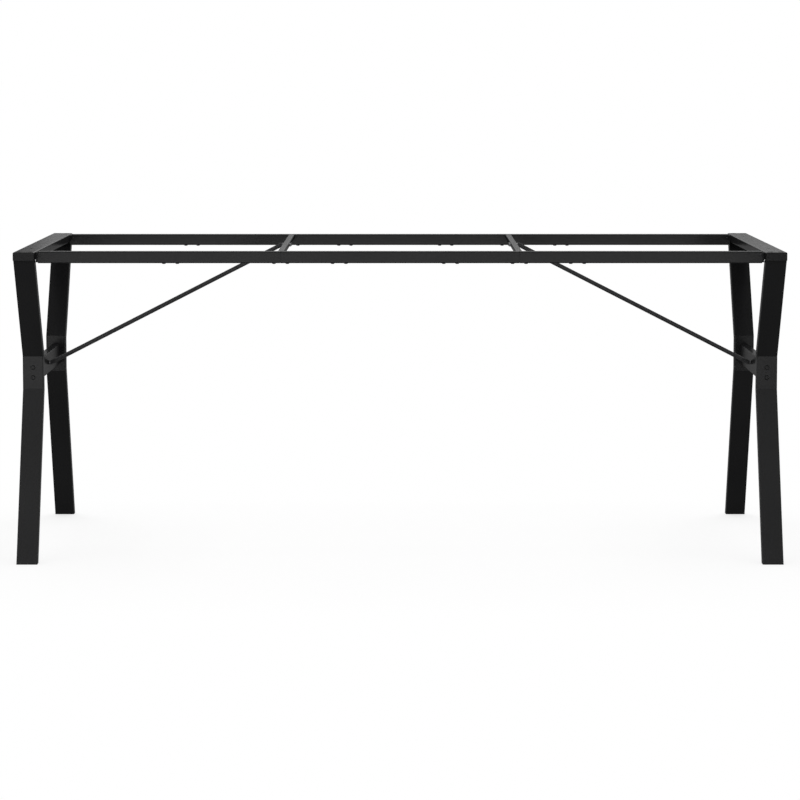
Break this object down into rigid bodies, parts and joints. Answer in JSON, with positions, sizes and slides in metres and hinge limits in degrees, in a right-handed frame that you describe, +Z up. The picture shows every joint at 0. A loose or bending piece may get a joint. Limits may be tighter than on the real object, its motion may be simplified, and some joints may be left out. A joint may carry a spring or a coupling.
{
  "type": "table underframe with y-shaped legs",
  "caption": "Black steel table underframe: bent Y-shaped legs at each end, joined by long rails, crossbars and slanting brace rods, with a flat top that carries a separate table top.",
  "frame": {"origin": "on the floor, under the middle of the frame", "axes": "+X along the table to the right, +Y from the front to the rear, +Z up"},
  "size_m": [1.792, 0.8, 0.73],
  "materials": {
    "frame": "fine satin powder coat",
    "plastic": "matte",
    "fasteners": "blackened, satin"
  },
  "bodies": {
    "root": {"brace_left": "frame", "brace_nuts": "fasteners", "brace_right": "frame", "crossbar_left": "frame", "crossbar_right": "frame", "end_cap_front_left": "plastic", "end_cap_front_right": "plastic", "end_cap_rear_left": "plastic", "end_cap_rear_right": "plastic", "end_rail_left": "frame", "end_rail_right": "frame", "foot_plug_front_left": "plastic", "foot_plug_front_right": "plastic", "foot_plug_rear_left": "plastic", "foot_plug_rear_right": "plastic", "joint_sleeve_front_left": "frame", "joint_sleeve_front_right": "frame", "joint_sleeve_rear_left": "frame", "joint_sleeve_rear_right": "frame", "knee_bar_left": "frame", "knee_bar_right": "frame", "knee_bolts": "fasteners", "knee_plate_front_left": "frame", "knee_plate_front_right": "frame", "knee_plate_rear_left": "frame", "knee_plate_rear_right": "frame", "leg_bolts": "fasteners", "leg_front_left": "frame", "leg_front_right": "frame", "leg_plate_front_left": "frame", "leg_plate_front_right": "frame", "leg_plate_rear_left": "frame", "leg_plate_rear_right": "frame", "leg_rear_left": "frame", "leg_rear_right": "frame", "rail_end_bolts": "fasteners", "rail_end_nuts": "fasteners", "rail_front_left": "frame", "rail_front_middle": "frame", "rail_front_right": "frame", "rail_rear_left": "frame", "rail_rear_middle": "frame", "rail_rear_right": "frame", "rail_tongue_front_left": "frame", "rail_tongue_front_right": "frame", "rail_tongue_rear_left": "frame", "rail_tongue_rear_right": "frame", "sleeve_screws": "fasteners", "top_screws": "fasteners"}
  },
  "joints": []
}
